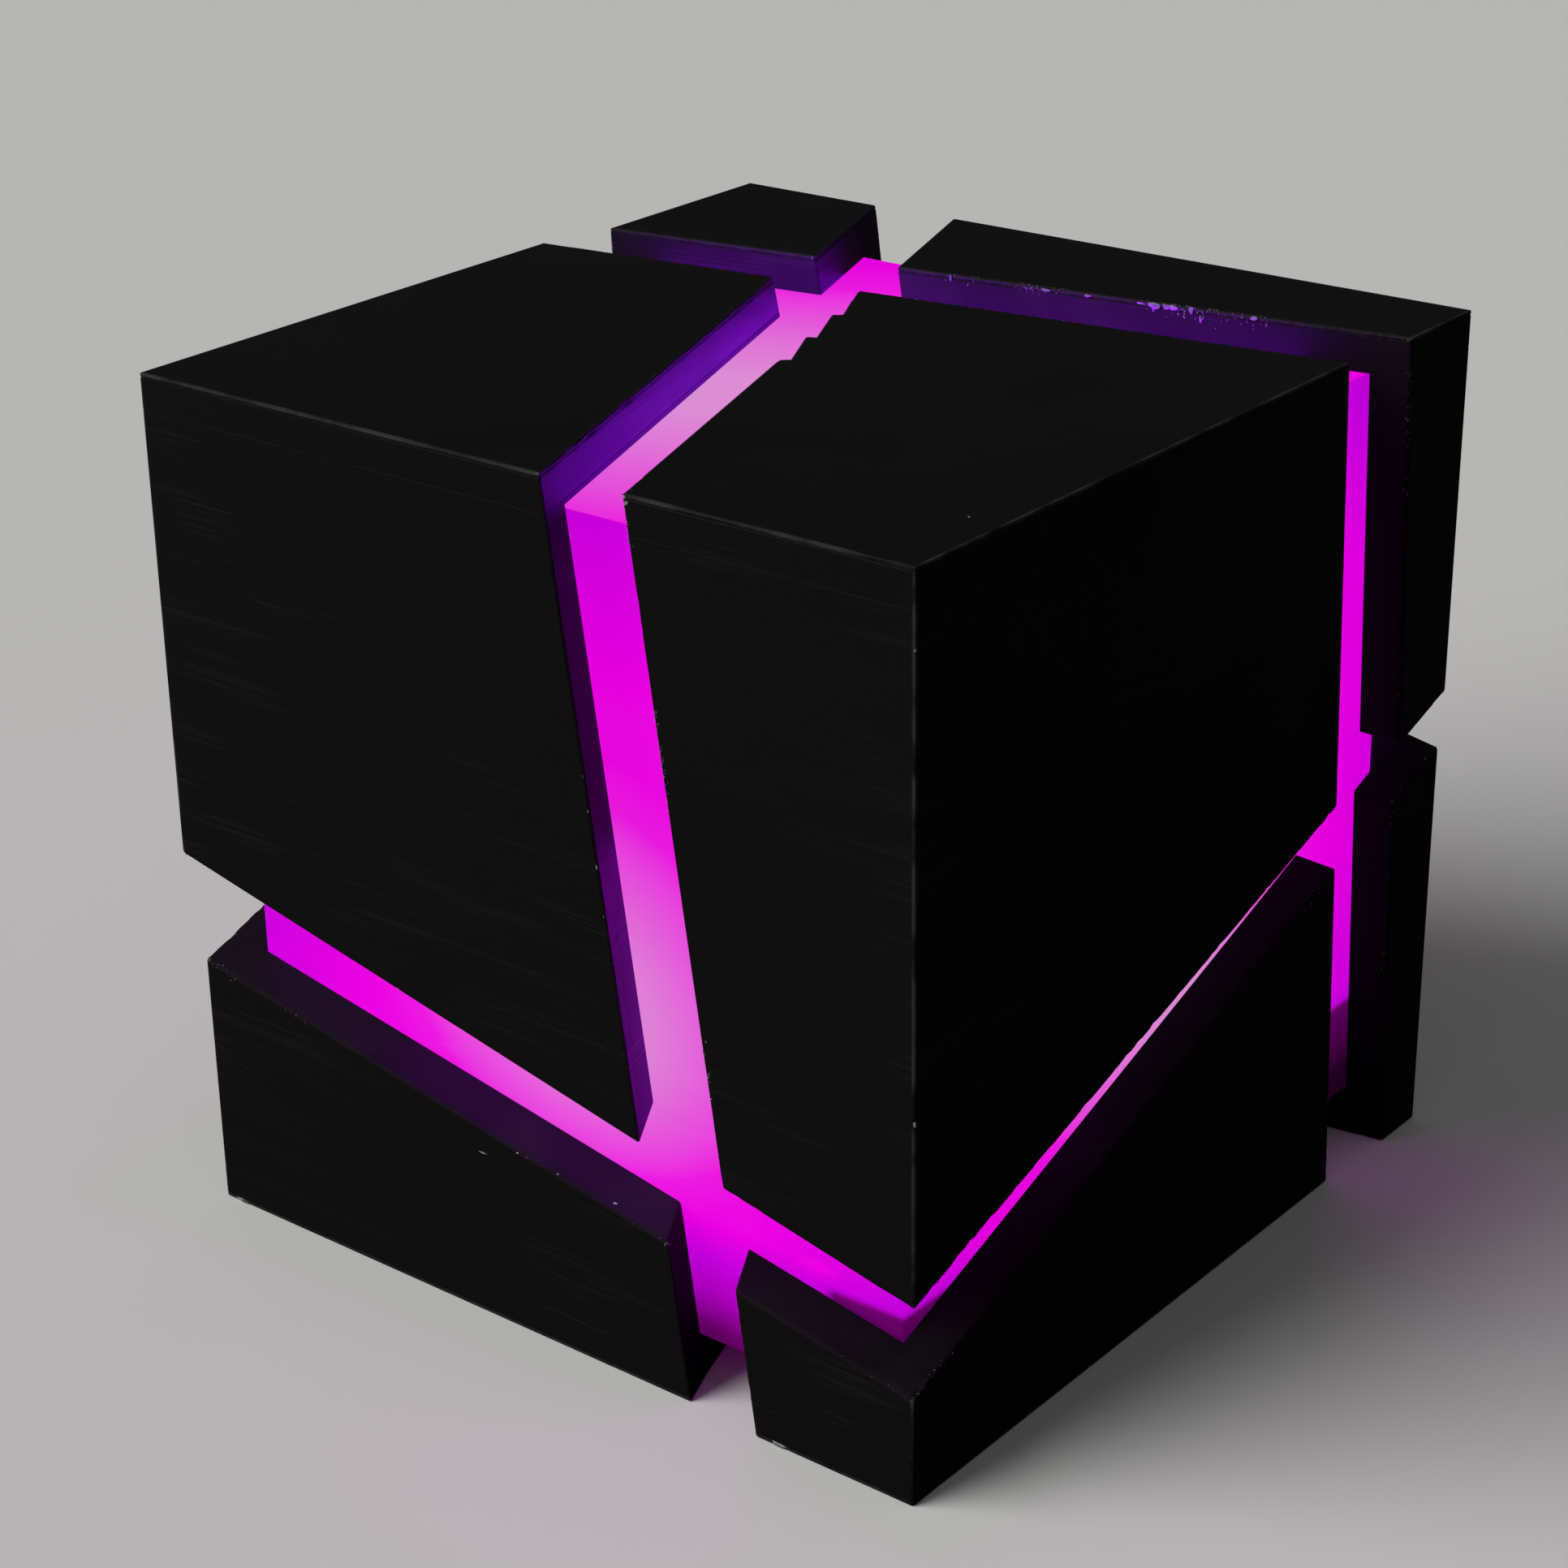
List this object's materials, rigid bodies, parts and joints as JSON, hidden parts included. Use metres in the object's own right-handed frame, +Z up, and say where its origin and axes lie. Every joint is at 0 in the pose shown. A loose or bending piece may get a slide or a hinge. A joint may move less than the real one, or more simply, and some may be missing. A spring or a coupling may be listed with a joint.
{
  "type": "fractured cube lamp",
  "caption": "Desk lamp shaped as a broken cube: black corner shards, held by magnets, pull off a glowing inner cube with a push button and a power inlet in its back slit.",
  "frame": {"origin": "middle of the cube's footprint, on the surface that it stands on", "axes": "+Z up; the front, away from the power inlet, is -Y; +X is to the right seen from the front"},
  "size_m": [0.1213, 0.1233, 0.1209],
  "materials": {
    "shard_plastic": "matte printed layers",
    "diffuser_plastic": "milky, lit from inside",
    "magnet_nickel": "bright nickel plate",
    "screw_steel": "zinc plated, satin",
    "post_plastic": "matte printed layers",
    "strip_circuit": "satin solder mask",
    "diode_plastic": "satin",
    "board_laminate": "satin solder mask",
    "chip_plastic": "fine matte mould",
    "capacitor_aluminium": "satin",
    "inlet_steel": "satin plated",
    "tongue_plastic": "matte",
    "switch_plastic": "fine matte mould",
    "button_plastic": "satin",
    "lead_jacket": "satin"
  },
  "bodies": {
    "core": {"board_screw_lower": "screw_steel", "board_screw_upper": "screw_steel", "button_switch_housing": "switch_plastic", "control_board": "board_laminate", "control_chip": "chip_plastic", "core_base_lid": "diffuser_plastic", "core_diffuser": "diffuser_plastic", "core_magnet_lower_left_back": "magnet_nickel", "core_magnet_lower_left_front": "magnet_nickel", "core_magnet_lower_right_back": "magnet_nickel", "core_magnet_lower_right_front": "magnet_nickel", "core_magnet_upper_left_back": "magnet_nickel", "core_magnet_upper_left_front": "magnet_nickel", "core_magnet_upper_right_back": "magnet_nickel", "core_magnet_upper_right_front": "magnet_nickel", "diode_back_high": "diode_plastic", "diode_back_low": "diode_plastic", "diode_back_middle": "diode_plastic", "diode_front_high": "diode_plastic", "diode_front_low": "diode_plastic", "diode_front_middle": "diode_plastic", "diode_left_high": "diode_plastic", "diode_left_low": "diode_plastic", "diode_left_middle": "diode_plastic", "diode_right_high": "diode_plastic", "diode_right_low": "diode_plastic", "diode_right_middle": "diode_plastic", "lid_screw_left_back": "screw_steel", "lid_screw_left_front": "screw_steel", "lid_screw_right_back": "screw_steel", "lid_screw_right_front": "screw_steel", "light_lead": "lead_jacket", "light_post": "post_plastic", "light_strip_back": "strip_circuit", "light_strip_front": "strip_circuit", "light_strip_left": "strip_circuit", "light_strip_right": "strip_circuit", "post_screw_left": "screw_steel", "post_screw_right": "screw_steel", "power_inlet_shell": "inlet_steel", "power_inlet_tongue": "tongue_plastic", "smoothing_capacitor": "capacitor_aluminium"},
    "button": {"button_cap": "button_plastic", "button_switch_plunger": "switch_plastic"},
    "upper_left_front_shard": {"shard_upper_left_front": "shard_plastic", "shard_magnet_upper_left_front": "magnet_nickel"},
    "upper_left_back_shard": {"shard_upper_left_back": "shard_plastic", "shard_magnet_upper_left_back": "magnet_nickel"},
    "upper_right_front_shard": {"shard_upper_right_front": "shard_plastic", "shard_magnet_upper_right_front": "magnet_nickel"},
    "upper_right_back_shard": {"shard_upper_right_back": "shard_plastic", "shard_magnet_upper_right_back": "magnet_nickel"},
    "lower_left_front_shard": {"shard_lower_left_front": "shard_plastic", "shard_magnet_lower_left_front": "magnet_nickel"},
    "lower_left_back_shard": {"shard_lower_left_back": "shard_plastic", "shard_magnet_lower_left_back": "magnet_nickel"},
    "lower_right_front_shard": {"shard_lower_right_front": "shard_plastic", "shard_magnet_lower_right_front": "magnet_nickel"},
    "lower_right_back_shard": {"shard_lower_right_back": "shard_plastic", "shard_magnet_lower_right_back": "magnet_nickel"}
  },
  "joints": [
    {"name": "upper_left_front_pull", "type": "slide", "parent": "core", "child": "upper_left_front_shard", "axis": [-0.5774, -0.5774, 0.5774], "range_m": [0, 0.05]},
    {"name": "upper_left_back_pull", "type": "slide", "parent": "core", "child": "upper_left_back_shard", "axis": [-0.5774, 0.5774, 0.5774], "range_m": [0, 0.05]},
    {"name": "upper_right_front_pull", "type": "slide", "parent": "core", "child": "upper_right_front_shard", "axis": [0.5774, -0.5774, 0.5774], "range_m": [0, 0.05]},
    {"name": "upper_right_back_pull", "type": "slide", "parent": "core", "child": "upper_right_back_shard", "axis": [0.5774, 0.5774, 0.5774], "range_m": [0, 0.05]},
    {"name": "lower_left_front_pull", "type": "slide", "parent": "core", "child": "lower_left_front_shard", "axis": [-0.7071, -0.7071, 0], "range_m": [0, 0.05]},
    {"name": "lower_left_back_pull", "type": "slide", "parent": "core", "child": "lower_left_back_shard", "axis": [-0.7071, 0.7071, 0], "range_m": [0, 0.05]},
    {"name": "lower_right_front_pull", "type": "slide", "parent": "core", "child": "lower_right_front_shard", "axis": [0.7071, -0.7071, 0], "range_m": [0, 0.05]},
    {"name": "lower_right_back_pull", "type": "slide", "parent": "core", "child": "lower_right_back_shard", "axis": [0.7071, 0.7071, 0], "range_m": [0, 0.05]},
    {"name": "button_press", "type": "slide", "parent": "core", "child": "button", "axis": [0, -1, 0], "range_m": [0, 0.0012], "stiffness_N_per_m": 600, "springref_m": -0.0008}
  ]
}
